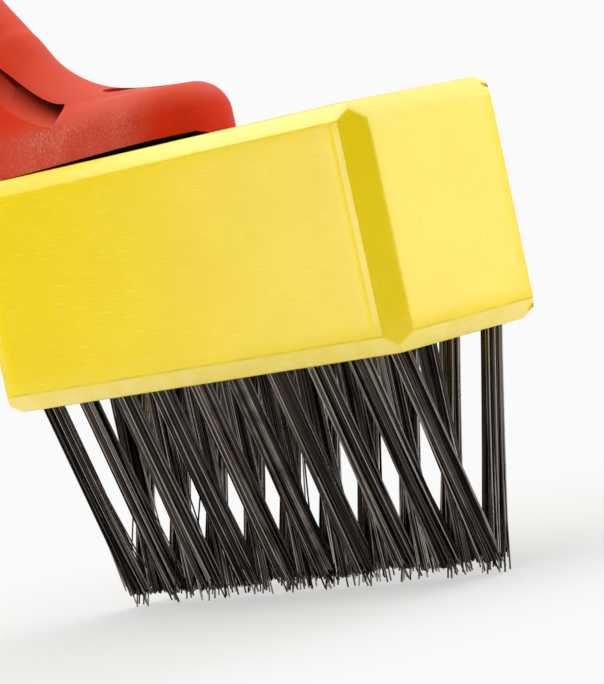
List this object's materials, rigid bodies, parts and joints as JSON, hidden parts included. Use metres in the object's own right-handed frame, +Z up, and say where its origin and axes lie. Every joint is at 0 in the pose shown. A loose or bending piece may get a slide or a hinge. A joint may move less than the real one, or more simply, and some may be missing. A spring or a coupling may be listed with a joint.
{
  "type": "wire scraper brush",
  "caption": "Joint scraper brush head: chamfered wooden block, rows of steel wire tufts that lean to one narrow working line, and a moulded bracket with an angled handle socket.",
  "frame": {"origin": "middle of the bounding box, on the plane that the longest wire tips stand on", "axes": "+Z up from the wire tips to the block and the bracket; +X along the block, from the handle's side to the free end; +Y across the block"},
  "size_m": [0.2172, 0.059, 0.2269],
  "materials": {
    "painted_wood": "thin satin yellow paint over beech",
    "moulded_plastic": "matte red, lightly scuffed",
    "steel_wire": "dark oil-tempered drawn wire",
    "screw_zinc": "bright zinc plate"
  },
  "bodies": {
    "root": {"brush_block": "painted_wood", "handle_bracket": "moulded_plastic", "toe_screw": "screw_zinc", "saddle_screw": "screw_zinc", "tuft_near_01": "steel_wire", "tuft_near_02": "steel_wire", "tuft_near_03": "steel_wire", "tuft_near_04": "steel_wire", "tuft_near_05": "steel_wire", "tuft_near_06": "steel_wire", "tuft_near_07": "steel_wire", "tuft_near_08": "steel_wire", "tuft_near_09": "steel_wire", "tuft_near_10": "steel_wire", "tuft_middle_01": "steel_wire", "tuft_middle_02": "steel_wire", "tuft_middle_03": "steel_wire", "tuft_middle_04": "steel_wire", "tuft_middle_05": "steel_wire", "tuft_middle_06": "steel_wire", "tuft_middle_07": "steel_wire", "tuft_middle_08": "steel_wire", "tuft_middle_09": "steel_wire", "tuft_far_01": "steel_wire", "tuft_far_02": "steel_wire", "tuft_far_03": "steel_wire", "tuft_far_04": "steel_wire", "tuft_far_05": "steel_wire", "tuft_far_06": "steel_wire", "tuft_far_07": "steel_wire", "tuft_far_08": "steel_wire", "tuft_far_09": "steel_wire", "tuft_far_10": "steel_wire"}
  },
  "joints": []
}
